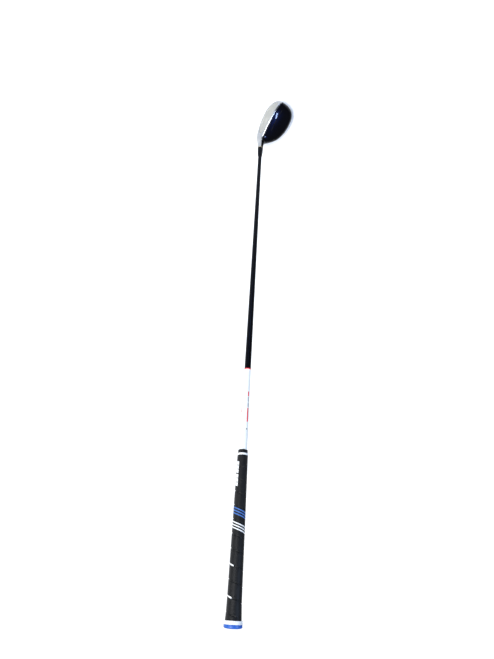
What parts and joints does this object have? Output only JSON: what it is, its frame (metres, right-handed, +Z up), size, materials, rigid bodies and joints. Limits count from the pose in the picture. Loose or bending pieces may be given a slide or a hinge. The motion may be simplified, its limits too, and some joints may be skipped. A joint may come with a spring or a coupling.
{
  "type": "fairway wood",
  "caption": "Golf fairway wood: hollow steel head with painted crown and face plate, tapered shaft, ferrule and spiral-wrapped rubber grip.",
  "frame": {"origin": "middle of the flat on the sole, with the club at address", "axes": "+X from heel to toe, +Y towards the target (the way the face looks), +Z up; the shaft rises towards -X at 58 degrees to the ground, in a plane parallel to XZ"},
  "size_m": [0.6655, 0.0667, 0.9217],
  "materials": {
    "satin_steel": "satin",
    "face_steel": "bead-blasted matte",
    "crown_paint": "gloss navy over steel",
    "weight_metal": "satin",
    "hot_melt": "soft glue",
    "trim_metal": "polished",
    "ferrule_plastic": "gloss",
    "shaft_composite": "gloss black with a white upper section",
    "brass": "machined",
    "tape": "plain",
    "grip_rubber": "matte charcoal",
    "white_rubber": "satin white",
    "blue_rubber": "satin blue"
  },
  "bodies": {
    "root": {"head_body": "satin_steel", "face_plate": "face_steel", "crown_plate": "crown_paint", "rear_weight": "weight_metal", "weight_screw": "satin_steel", "hot_melt_pad": "hot_melt", "hosel_ring": "trim_metal", "ferrule": "ferrule_plastic", "shaft": "shaft_composite", "tip_pin": "brass", "grip_tape": "tape", "grip_sleeve": "grip_rubber", "mouth_ring": "white_rubber", "butt_ring": "white_rubber", "butt_cap": "blue_rubber"}
  },
  "joints": []
}
